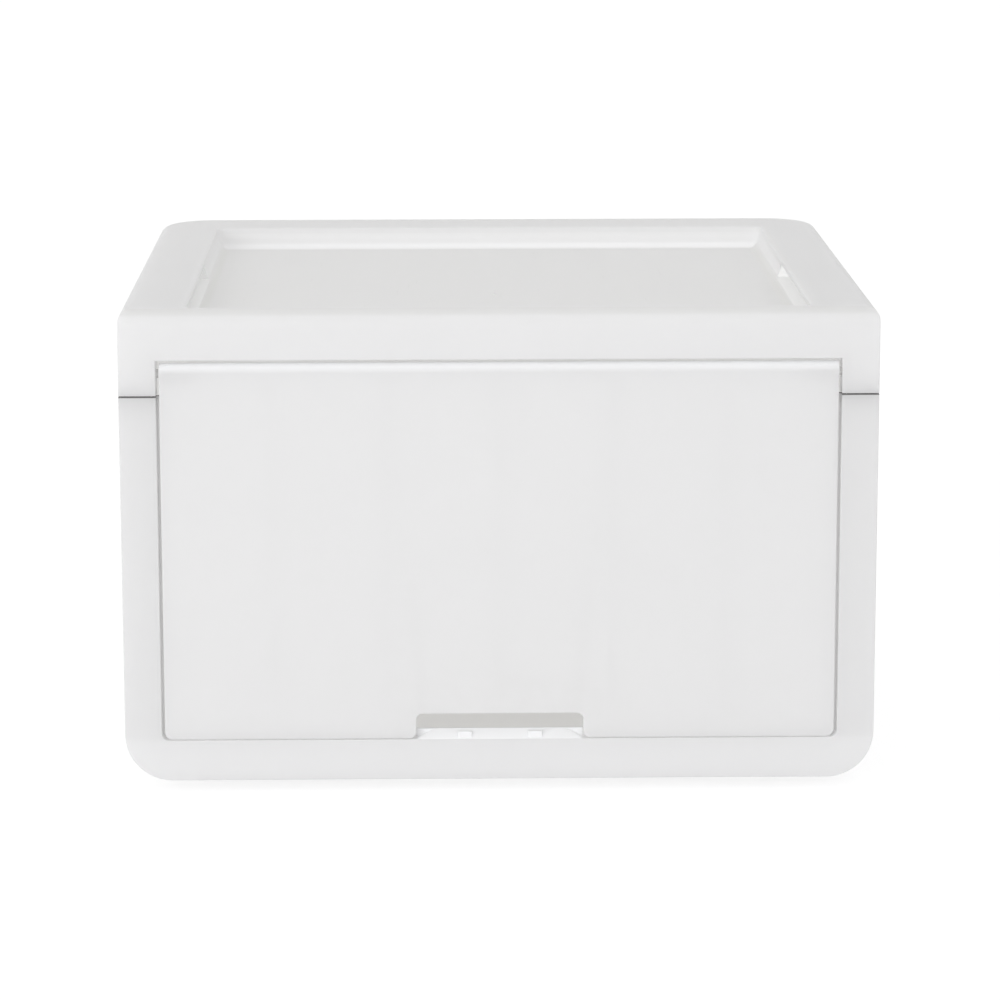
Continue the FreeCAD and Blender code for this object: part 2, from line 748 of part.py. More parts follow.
def top_cover(doc):
    body = new_body(doc, "top_cover")
    cover_shell(body)
    cover_tray(body)
    cover_front(body)
    low, crease = number(body, COVER), number(body, f"{ROOF} - sizes.lean_height")
    soften_front(
        body, "cover_front_edges",
        lambda b: low + APART < b.ZMax < crease + APART and b.ZMin < crease - APART,
    )
    cover_hook_recesses(body)
    cover_ribs(body)
    return body


def flap_outline(inset, top):
    """Outline of the flap with its finger notch, drawn in by an inset."""
    side = f"{FLAP} - ({inset})"
    notch = f"{NOTCH} + ({inset})"
    low = f"{FLAP_FOOT} + ({inset})"
    high = f"{FLAP_FOOT} + sizes.notch_height + ({inset})"
    outer_round = f"sizes.flap_corner - ({inset})"
    foot_round = f"sizes.notch_corner - ({inset})"
    notch_round = f"sizes.notch_corner + ({inset})"
    return (
        (f"-({side})", low, outer_round), (f"-({notch})", low, foot_round),
        (f"-({notch})", high, notch_round), (notch, high, notch_round),
        (notch, low, foot_round), (side, low, outer_round), (side, top), (f"-({side})", top),
    )


def flap_barrel(body):
    """Rolled top edge about the hinge axis, solid at both ends and open below in between."""
    pivot = front("sizes.barrel_radius")
    roll = side_sketch(body, "barrel_profile")
    circle(body, roll, pivot, PIVOT, "sizes.barrel_radius")
    pad(body, "barrel", roll, f"2 * ({FLAP})", symmetric=True)
    between = f"2 * ({FLAP} - sizes.barrel_end)"
    core = side_sketch(body, "barrel_core")
    circle(body, core, pivot, PIVOT, "sizes.barrel_radius - sizes.barrel_wall")
    pocket(body, "barrel_hollow", core, between, symmetric=True)
    mouth = side_sketch(body, "barrel_mouth")
    box_outline(
        body, mouth, front("sizes.flap_skin"), f"{PIVOT} - sizes.barrel_radius - {OVERLAP}",
        front(f"2 * sizes.barrel_radius + {OVERLAP}"), PIVOT,
    )
    pocket(body, "barrel_opening", mouth, between, symmetric=True)
    bore = side_sketch(body, "barrel_bore")
    circle(body, bore, pivot, PIVOT, "sizes.pin_radius")
    pocket(body, "barrel_bores", bore, f"2 * ({FLAP})", symmetric=True)


def front_flap(doc):
    """Thin door with a rim round its back, a finger notch and a hinge barrel along its top."""
    body = new_body(doc, "front_flap")
    skin = front_sketch(body, "flap_skin_outline")
    outline(body, skin, flap_outline("0", PIVOT))
    pad(body, "flap_panel", skin, "sizes.flap_skin", reverse=True)

    rim_depth = "sizes.rebate_depth - sizes.rest_clearance"
    rim = front_sketch(body, "flap_rim_outline")
    outline(body, rim, flap_outline("0", PIVOT))
    outline(body, rim, flap_outline("sizes.flap_rim", f"{PIVOT} - sizes.flap_rim"))
    pad(body, "flap_rim_band", rim, rim_depth, reverse=True)
    top = number(body, PIVOT)
    soften_front(body, "flap_front_edges", lambda b: b.ZMin < top - APART)
    flap_barrel(body)

    rib = front_sketch(body, "flap_rib_outline", f"sizes.flap_skin - {OVERLAP}")
    first = "-(sizes.flap_rib_count - 1) * sizes.flap_rib_pitch / 2"
    box_outline(
        body, rib, f"{first} - sizes.flap_rib / 2",
        f"{FLAP_FOOT} + sizes.notch_height + sizes.flap_rim / 2",
        f"{first} + sizes.flap_rib / 2", f"{PIVOT} - sizes.flap_rim / 2",
    )
    one = pad(body, "flap_rib", rib, f"sizes.flap_rib_depth + {OVERLAP}", reverse=True)
    repeat(
        body, "flap_ribs", one, "X_Axis", "(sizes.flap_rib_count - 1) * sizes.flap_rib_pitch",
        "sizes.flap_rib_count",
    )
    return body


def hinge_pin(doc, label, sign):
    """Straight pin, pressed into the barrel and turning in the wall beside the opening."""
    body = new_body(doc, label)
    sketch = new_sketch(body, f"{label}_profile", "XY_Plane", PIVOT)
    sketch.setExpression("AttachmentOffset.Base.y", front("sizes.barrel_radius"))
    tip = f"{FLAP} - sizes.pin_grip"
    tail = f"{OPEN} + sizes.return_wall + sizes.pin_tail"
    radius, bevel = "sizes.pin_radius", "sizes.pin_chamfer"
    corners = (
        (tip, "0"), (tip, f"{radius} - {bevel}"), (f"{tip} + {bevel}", radius),
        (f"{tail} - {bevel}", radius), (tail, f"{radius} - {bevel}"), (tail, "0"),
    )
    outline(body, sketch, [(f"{sign}({across})", up) for across, up in corners])
    pin = body.newObject("PartDesign::Revolution", f"{label}_turned")
    pin.Profile = sketch
    pin.ReferenceAxis = (sketch, ["H_Axis"])
    pin.Angle = 360.0
    doc.recompute()
    return body


def check_and_write(doc, pieces):
    """Stop on a failed object or a bad solid, then write one file for each piece."""
    for item in doc.Objects:
        if "Invalid" in item.State or "Error" in item.State:
            raise ValueError(f"{item.Label} failed: {item.State}")
    for piece in pieces:
        shape = piece.Shape
        if shape.isNull() or not shape.isValid() or len(shape.Solids) != 1:
            raise ValueError(f"{piece.Label} is not one valid solid")
    os.makedirs("parts", exist_ok=True)
    for piece in pieces:
        piece.Shape.exportStep(os.path.join("parts", f"{piece.Label}.step"))
        box = piece.Shape.BoundBox
        print(
            piece.Label, round(piece.Shape.Volume / 1000, 2), "cm3",
            [round(v, 2) for v in (box.XMin, box.YMin, box.ZMin, box.XMax, box.YMax, box.ZMax)],
        )


def main():
    doc = FreeCAD.newDocument("storage_box")
    sheet_of_sizes(doc)
    pieces = [
        body_tub(doc),
        top_cover(doc),
        front_flap(doc),
        hinge_pin(doc, "hinge_pin_left", "-"),
        hinge_pin(doc, "hinge_pin_right", ""),
    ]
    doc.recompute()
    check_and_write(doc, pieces)


main()
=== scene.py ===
"""Stackable white storage box with a top-hinged front flap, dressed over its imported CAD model.

Lengths are in metres in the frame of the part: X across the front, -Y towards the user, Z up.
"""

from __future__ import annotations

import logging
import math
from collections.abc import Sequence
from dataclasses import dataclass
from enum import Enum

import bpy
import numpy as np
from mathutils import Matrix, Vector


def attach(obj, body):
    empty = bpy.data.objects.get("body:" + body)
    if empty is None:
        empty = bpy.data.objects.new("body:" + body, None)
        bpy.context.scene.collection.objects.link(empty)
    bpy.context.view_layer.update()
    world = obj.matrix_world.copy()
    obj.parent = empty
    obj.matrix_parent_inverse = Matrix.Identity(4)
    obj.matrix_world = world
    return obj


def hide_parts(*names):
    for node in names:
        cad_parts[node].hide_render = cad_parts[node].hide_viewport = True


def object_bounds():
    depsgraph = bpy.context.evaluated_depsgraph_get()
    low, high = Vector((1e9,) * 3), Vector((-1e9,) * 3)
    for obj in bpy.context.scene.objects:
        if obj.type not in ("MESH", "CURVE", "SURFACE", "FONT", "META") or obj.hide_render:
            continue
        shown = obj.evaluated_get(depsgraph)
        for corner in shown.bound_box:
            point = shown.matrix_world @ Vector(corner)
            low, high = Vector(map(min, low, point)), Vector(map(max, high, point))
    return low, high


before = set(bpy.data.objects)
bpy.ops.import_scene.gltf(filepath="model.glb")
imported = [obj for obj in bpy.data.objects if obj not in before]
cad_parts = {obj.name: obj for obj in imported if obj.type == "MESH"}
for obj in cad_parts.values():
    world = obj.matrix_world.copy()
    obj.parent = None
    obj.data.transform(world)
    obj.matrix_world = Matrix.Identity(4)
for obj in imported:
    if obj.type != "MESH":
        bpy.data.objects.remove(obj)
cad_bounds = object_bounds()

log = logging.getLogger("storage_box")

Colour = tuple[float, float, float]
Point = tuple[float, float, float]
MM = 0.001


class Body(Enum):
    """Rigid bodies of the part."""

    BOX = "box"
    FLAP = "flap"


class Slot(Enum):
    """Material slots of the part's record."""

    WHITE = "white_plastic"
    FLAP = "flap_plastic"
    PIN = "pin_plastic"


class Wire:
    """Output of a shader node that takes part in Python arithmetic."""

    def __init__(self, bench: Bench, socket: bpy.types.NodeSocket) -> None:
        """Keep the socket and the bench that its node stands on."""
        self.bench = bench
        self.socket = socket

    def _math(self, operation: str, *values: Wire | float) -> Wire:
        """Add a Math node.

        Args:
            operation: Name of the Math node's operation.
            values: Its operands in order, as wires or numbers.

        Returns:
            The node's output.
        """
        inputs = dict(enumerate(values))
        return self.bench.node("ShaderNodeMath", {"operation": operation}, inputs)

    def __add__(self, other: Wire | float) -> Wire:
        """Sum of this and another value."""
        return self._math("ADD", self, other)

    __radd__ = __add__

    def __sub__(self, other: Wire | float) -> Wire:
        """This less another value."""
        return self._math("SUBTRACT", self, other)

    def __rsub__(self, other: Wire | float) -> Wire:
        """Another value less this."""
        return self._math("SUBTRACT", other, self)

    def __mul__(self, other: Wire | float) -> Wire:
        """Product of this and another value."""
        return self._math("MULTIPLY", self, other)

    __rmul__ = __mul__

    def __abs__(self) -> Wire:
        """Distance of this from zero."""
        return self._math("ABSOLUTE", self)

    def larger(self, other: Wire | float) -> Wire:
        """Larger of this and another value."""
        return self._math("MAXIMUM", self, other)

    def root(self) -> Wire:
        """Square root of this."""
        return self._math("SQRT", self)

    def fade(self, start: float, end: float) -> Wire:
        """Smooth step over this value.

        Args:
            start: Value at which the step is 0.
            end: Value at which the step is 1; it may lie below the start.

        Returns:
            A wire between 0 and 1.
        """
        low, high = (start, end) if start < end else (end, start)
        step = self.bench.node(
            "ShaderNodeMapRange",
            {"interpolation_type": "SMOOTHSTEP"},
            {"Value": self, "From Min": low, "From Max": high},
        )
        return step if start < end else 1.0 - step


class Bench:
    """Node tree of one material or of the world, with a single way to add a node."""

    def __init__(self, owner: bpy.types.Material | bpy.types.World) -> None:
        """Start an empty tree on that material or world."""
        self.owner = owner
        self.owner.use_nodes = True
        self.tree = self.owner.node_tree
        self.tree.nodes.clear()

    def add(
        self,
        kind: str,
        settings: dict[str, object] | None = None,
        inputs: dict[str | int, object] | None = None,
    ) -> bpy.types.Node:
        """Add a node, set its settings, then its inputs.

        Args:
            kind: Blender's type name of the node.
            settings: Attributes of the node itself, such as an operation.
            inputs: Wires or values for its input sockets, by name or number.

        Returns:
            The new node.
        """
        made = self.tree.nodes.new(kind)
        for key, value in (settings or {}).items():
            setattr(made, key, value)
        for key, value in (inputs or {}).items():
            socket = made.inputs[key]
            if isinstance(value, Wire):
                self.tree.links.new(value.socket, socket)
            else:
                socket.default_value = value
        return made

    def node(
        self,
        kind: str,
        settings: dict[str, object] | None = None,
        inputs: dict[str | int, object] | None = None,
        output: str | int = 0,
    ) -> Wire:
        """Add a node as above and take one of its outputs.

        Args:
            kind: Blender's type name of the node.
            settings: Attributes of the node itself.
            inputs: Wires or values for its input sockets, by name or number.
            output: Name or number of the output to return.

        Returns:
            The chosen output.
        """
        return Wire(self, self.add(kind, settings, inputs).outputs[output])

    def place(self, axis: int) -> Wire:
        """One of the three Object coordinates, in metres."""
        spot = self.node("ShaderNodeTexCoord", output="Object")
        return self.node("ShaderNodeSeparateXYZ", inputs={0: spot}, output=axis)

    def noise(self, size: float, stretch: Point = (1.0, 1.0, 1.0), detail: float = 2.0) -> Wire:
        """Cloudy noise on Object coordinates.

        Args:
            size: Width of one cloud in metres.
            stretch: Factors by which the noise is drawn out along X, Y and Z.
            detail: Number of finer layers.

        Returns:
            The noise, about 0.5 with soft extremes at 0 and 1.
        """
        spot = self.node("ShaderNodeTexCoord", output="Object")
        scaled = self.node(
            "ShaderNodeVectorMath",
            {"operation": "DIVIDE"},
            {0: spot, 1: tuple(size * factor for factor in stretch)},
        )
        return self.node(
            "ShaderNodeTexNoise", None, {"Vector": scaled, "Scale": 1.0, "Detail": detail}
        )

    def blend(self, amount: Wire | float, first: Colour | Wire, second: Colour | Wire) -> Wire:
        """Colour between two colours.

        Args:
            amount: 0 for the first colour and 1 for the second.
            first: Linear colour or colour wire.
            second: Linear colour or colour wire.

        Returns:
            The mixed colour.
        """
        full = [c if isinstance(c, Wire) else (*c, 1.0) for c in (first, second)]
        inputs = {"Factor": amount, 6: full[0], 7: full[1]}
        return self.node("ShaderNodeMix", {"data_type": "RGBA"}, inputs, output=2)

    def finish(self, shader: Wire) -> bpy.types.Material | bpy.types.World:
        """Join the shader to the tree's output.

        Args:
            shader: Shader of the surface or of the sky.

        Returns:
            The material or the world.
        """
        kind = "World" if isinstance(self.owner, bpy.types.World) else "Material"
        self.add(f"ShaderNodeOutput{kind}", None, {"Surface": shader})
        return self.owner


def strongest(masks: Sequence[Wire]) -> Wire:
    """Largest of several masks at each point.

    Args:
        masks: At least one mask.

    Returns:
        The union of the masks.
    """
    total = masks[0]
    for mask in masks[1:]:
        total = total.larger(mask)
    return total


@dataclass(frozen=True)
class Zone:
    """Box-shaped region of a surface that fades out at its border.

    Attributes:
        low: Lowest corner in metres.
        high: Highest corner in metres.
        soft: Width of the border in metres.
        both: Whether it lies on both sides, with X as the distance from the middle.
        radius: Radius of its rounded corners in metres.
    """

    low: Point
    high: Point
    soft: float
    both: bool = False
    radius: float = 0.0

    def mask(self, bench: Bench) -> Wire:
        """Mask of the zone, a smooth step of the distance d from its box with rounded corners.

        With the distance a from the box's middle, its half-width h and the radius r,
        d = |max(a - h + r, 0)| - r over the three axes.

        Args:
            bench: Bench of the material.

        Returns:
            1 inside the zone and 0 outside.
        """
        total: Wire | float = 0.0
        for axis, (low, high) in enumerate(zip(self.low, self.high)):
            spot = bench.place(axis)
            if self.both and axis == 0:
                spot = abs(spot)
            away = abs(spot - (low + high) / 2)
            beyond = (away - ((high - low) / 2 - self.radius)).larger(0.0)
            total = beyond * beyond + total
        return (total.root() - self.radius).fade(self.soft, 0.0)


@dataclass(frozen=True)
class Patch:
    """Part of a moulding where wall and surface differ from the rest, mostly in a painted light or
    painted shade.

    Attributes:
        zone: Where it lies.
        colour: Linear colour of the plastic there, lighter or darker as a painted light or painted
            shade.
        thin: Share of the light that comes through there.
        gloss: How much smoother it is, as a drop in roughness.
    """

    zone: Zone
    colour: Colour
    thin: float = 0.45
    gloss: float = 0.0


@dataclass(frozen=True)
class Marks:
    """Pattern of marks, from noise that is cut at a level.

    Attributes:
        width: Width of one mark in metres.
        start: Noise at which a mark begins.
        full: Noise at which it is full.
        stretch: Factors by which it is drawn out along X, Y and Z.
        detail: Number of finer layers in the noise.
    """

    width: float
    start: float
    full: float
    stretch: Point = (1.0, 1.0, 1.0)
    detail: float = 2.0

    def mask(self, bench: Bench) -> Wire:
        """Mask of the marks, 1 in a full mark and 0 between them."""
        return bench.noise(self.width, self.stretch, self.detail).fade(self.start, self.full)


@dataclass(frozen=True)
class Wear:
    """What use does to the plastic.

    Attributes:
        marks: Patterns of its marks, of which the stronger one counts.
        colour: Linear colour of the marks.
        depth: Share of that colour in a full mark.
        gloss: Drop in roughness in a full mark.
        cut: Depth of a full mark, in heights of the grain.
    """

    marks: tuple[Marks, ...]
    colour: Colour
    depth: float
    gloss: float
    cut: float = 0.0


HANDLING = Wear(
    marks=(Marks(width=9 * MM, start=0.35, full=0.7, detail=3.0),),
    colour=(0.70, 0.70, 0.685),
    depth=0.07,
    gloss=0.12,
)
SCUFFING = Wear(
    marks=(
        Marks(width=1.1 * MM, start=0.66, full=0.74, stretch=(30.0, 1.0, 1.0)),
        Marks(width=1.3 * MM, start=0.68, full=0.76, stretch=(1.0, 24.0, 1.0)),
    ),
    colour=(0.66, 0.66, 0.65),
    depth=0.22,
    gloss=0.08,
    cut=1.5,
)


@dataclass(frozen=True)
class MouldedPlastic:
    """Matt white moulded plastic with an etched grain.

    Attributes:
        name: Name of the material.
        colour: Linear colour of the clean plastic.
        shade: Linear colour of its slightly darker flow clouds.
        roughness: Roughness of the grained surface.
        grain: Width of one grain in metres.
        relief: Height of the grain in metres.
        cloud: Width of one flow cloud in metres.
        fleck: Width of one fleck in the clouds in metres.
        fleck_share: Share of the flecks in the clouds.
        grain_spread: Spread of roughness from grain to grain.
        cloud_spread: Spread of roughness from cloud to cloud.
        index: Refractive index of the plastic.
        shine: Strength of its reflection, where 0.5 is that of the index alone.
        through: Linear colour of the light that comes through a wall.
        thin: Share of the light that comes through.
        handled: Zones that fingers touch, which are smoother and a little greyer.
        scuffed: Zones that rub on other boxes or on the table, with fine scratches.
        patches: Parts with painted light or painted shade, each laid over those before it.
    """

    name: str
    colour: Colour
    shade: Colour
    roughness: float
    grain: float = 0.7 * MM
    relief: float = 0.02 * MM
    cloud: float = 45 * MM
    fleck: float = 2.4 * MM
    fleck_share: float = 0.3
    grain_spread: float = 0.10
    cloud_spread: float = 0.06
    index: float = 1.49
    shine: float = 0.35
    through: Colour = (0.98, 0.978, 0.972)
    thin: float = 0.45
    handled: tuple[Zone, ...] = ()
    scuffed: tuple[Zone, ...] = ()
    patches: tuple[Patch, ...] = ()

    def make(self) -> bpy.types.Material:
        """Build the material.

        The grain is fine noise that drives a bump and a slight spread of roughness. Wide noise
        mixes the colour with its shade. Marks of use lie over it within their zones, and each
        patch blends in its own colour, a painted light or painted shade, with its light and gloss.

        Returns:
            The material.
        """
        bench = Bench(bpy.data.materials.new(self.name))
        grain = bench.noise(self.grain, detail=3.0)
        cloud = bench.noise(self.cloud)
        fleck = bench.noise(self.fleck, detail=1.0)
        mottle = (1.0 - self.fleck_share) * cloud + self.fleck_share * fleck
        colour = bench.blend(mottle, self.shade, self.colour)
        spread = self.grain_spread * (grain - 0.5) + self.cloud_spread * (cloud - 0.5)
        rough = self.roughness + spread
        height = grain
        for zones, wear in ((self.handled, HANDLING), (self.scuffed, SCUFFING)):
            if zones:
                marks = strongest([pattern.mask(bench) for pattern in wear.marks])
                worn = marks * strongest([zone.mask(bench) for zone in zones])
                colour = bench.blend(wear.depth * worn, colour, wear.colour)
                rough = rough - wear.gloss * worn
                height = height - wear.cut * worn
        share: Wire | float = self.thin
        for patch in self.patches:
            # Patches blend in painted light and painted shade, with their own light through the
            # wall and gloss.
            mask = patch.zone.mask(bench)
            colour = bench.blend(mask, colour, patch.colour)
            rough = rough - patch.gloss * mask
            share = share + (patch.thin - share) * mask
        bump = bench.node(
            "ShaderNodeBump", None, {"Strength": 1.0, "Distance": self.relief, "Height": height}
        )
        shader = bench.node(
            "ShaderNodeBsdfPrincipled",
            None,
            {
                "Base Color": colour,
                "Roughness": rough,
                "Normal": bump,
                "IOR": self.index,
                "Specular IOR Level": self.shine,
            },
        )
        glow = bench.node("ShaderNodeBsdfTranslucent", None, {"Color": (*self.through, 1.0)})
        return bench.finish(bench.node("ShaderNodeMixShader", None, {0: share, 1: shader, 2: glow}))


def plain_mesh(source: bpy.types.Mesh, name: str, gap: float) -> bpy.types.Mesh:
    """Copy of a mesh of loose triangles whose corners are shared.

    Corners are rounded to a grid of the gap, equal ones become one vertex, and triangles that keep
    fewer than three different vertices are dropped, all as whole arrays.

    Args:
        source: Mesh of loose triangles.
        name: Name of the new mesh.
        gap: Distance in metres within which corners are the same.

    Returns:
        The new mesh.
    """
    spots = np.empty(len(source.vertices) * 3, np.float64)
    source.vertices.foreach_get("co", spots)
    spots = spots.reshape(-1, 3)
    source.calc_loop_triangles()
    corners = np.empty(len(source.loop_triangles) * 3, np.int64)
    source.loop_triangles.foreach_get("vertices", corners)
    _, first, same = np.unique(
        np.round(spots / gap).astype(np.int64), axis=0, return_index=True, return_inverse=True
    )
    faces = same.reshape(-1)[corners].reshape(-1, 3)
    whole = (faces != np.roll(faces, 1, axis=1)).all(axis=1)
    mesh = bpy.data.meshes.new(name)
    mesh.from_pydata(spots[first], [], faces[whole])
    return mesh


def edge_angles(mesh: bpy.types.Mesh) -> tuple[np.ndarray, np.ndarray, np.ndarray]:
    """Angles and lengths of the edges of a closed mesh, and their ends.

    Each edge borders two faces, so the corners of the faces, sorted by edge, come in pairs, and the
    angle is that between the normals of the pair's faces.

    Args:
        mesh: Closed mesh of triangles.

    Returns:
        The angle at each edge in radians, the length of each edge, and its two vertices' numbers.
    """
    ends = np.empty(len(mesh.edges) * 2, np.int64)
    mesh.edges.foreach_get("vertices", ends)
    ends = ends.reshape(-1, 2)
    edge_of_corner = np.empty(len(mesh.loops), np.int64)
    mesh.loops.foreach_get("edge_index", edge_of_corner)
    counts = np.empty(len(mesh.polygons), np.int64)
    mesh.polygons.foreach_get("loop_total", counts)
    normals = np.empty(len(mesh.polygons) * 3)
    mesh.polygons.foreach_get("normal", normals)
    faces = np.repeat(np.arange(len(counts)), counts)[np.argsort(edge_of_corner, kind="stable")]
    pairs = normals.reshape(-1, 3)[faces.reshape(-1, 2)]
    angles = np.arccos(np.clip((pairs[:, 0] * pairs[:, 1]).sum(axis=1), -1.0, 1.0))
    spots = np.empty(len(mesh.vertices) * 3)
    mesh.vertices.foreach_get("co", spots)
    spots = spots.reshape(-1, 3)
    lengths = np.linalg.norm(spots[ends[:, 0]] - spots[ends[:, 1]], axis=1)
    return angles, lengths, ends


@dataclass
class Shell:
    """Moulded piece that shows a CAD node through a merged copy with soft edges.

    Attributes:
        node: Name of the CAD node.
        name: Name of the piece.
        body: Body that it rides on.
        slot: Material slot of the part's record; not used.
        finish: Its plastic.
        edge: Width of the softened edges in metres.
        steps: Number of faces across a softened edge.
        crease: Angle in radians above which an edge counts as an edge of the moulding.
        merge: Distance in metres within which corners are the same.
        face_band: Depth behind the front face in which the edges are rounded already.
    """

    node: str
    name: str
    body: Body
    slot: Slot
    finish: MouldedPlastic
    edge: float = 0.25 * MM
    steps: int = 2
    crease: float = math.radians(50)
    merge: float = 0.0005 * MM
    face_band: float = 0.8 * MM

    def mesh(self) -> bpy.types.Mesh:
        """Merged copy of the CAD node whose crisp edges carry a bevel weight of 1.

        An edge is crisp where its angle is above the crease, where it lies behind the band of the
        front face, and where no shorter edge than twice the softened width meets either end. The
        other edges above the crease are marked sharp, so that no shading runs across them.

        Returns:
            The mesh, shaded smooth.
        """
        mesh = plain_mesh(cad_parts[self.node].data, self.name, self.merge)
        angles, lengths, ends = edge_angles(mesh)
        shortest = np.full(len(mesh.vertices), np.inf)
        np.minimum.at(shortest, ends.reshape(-1), np.repeat(lengths, 2))
        spots = np.empty(len(mesh.vertices) * 3)
        mesh.vertices.foreach_get("co", spots)
        behind = spots.reshape(-1, 3)[:, 1] > cad_bounds[0][1] + self.face_band
        roomy = behind & (shortest > 2 * self.edge)
        crisp = (angles > self.crease) & roomy[ends].all(axis=1)
        weight = mesh.attributes.new("bevel_weight_edge", "FLOAT", "EDGE")
        weight.data.foreach_set("value", crisp.astype(np.float32))
        mesh.shade_smooth()
        sharp = mesh.attributes.get("sharp_edge")
        sharp = sharp or mesh.attributes.new("sharp_edge", "BOOLEAN", "EDGE")
        sharp.data.foreach_set("value", (angles > self.crease) & ~crisp)
        return mesh

    def build(self) -> bpy.types.Object:
        """Make the piece, soften its edges and put it in the place of its node.

        Returns:
            The piece's object.
        """
        piece = bpy.data.objects.new(self.name, self.mesh())
        bpy.context.scene.collection.objects.link(piece)
        if self.edge:
            soft = piece.modifiers.new("soft_edges", "BEVEL")
            soft.width = self.edge
            soft.segments = self.steps
            soft.limit_method = "WEIGHT"
            soft.use_clamp_overlap = False
            soft.miter_outer = "MITER_ARC"
        even = piece.modifiers.new("even_normals", "WEIGHTED_NORMAL")
        even.mode = "FACE_AREA"
        even.weight = 50
        even.keep_sharp = True
        piece.data.materials.append(self.finish.make())
        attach(piece, self.body.value)
        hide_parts(self.node)
        log.info("%s: %d faces for node %s", self.name, len(piece.data.polygons), self.node)
        return piece


@dataclass(frozen=True)
class Lamp:
    """Soft square lamp that is aimed at the box.

    Attributes:
        name: Name of the lamp.
        place: Its centre in metres.
        size: Its width in metres.
        power: Its power in watts.
    """

    name: str
    place: Point
    size: float
    power: float

    def build(self, target: Point) -> None:
        """Make the lamp and aim it at the target."""
        light = bpy.data.lights.new(self.name, "AREA")
        light.shape = "SQUARE"
        light.size = self.size
        light.energy = self.power
        holder = bpy.data.objects.new(self.name, light)
        place = Vector(self.place)
        aim = (Vector(target) - place).to_track_quat("-Z", "Y")
        holder.matrix_world = Matrix.LocRotScale(place, aim, None)
        bpy.context.scene.collection.objects.link(holder)


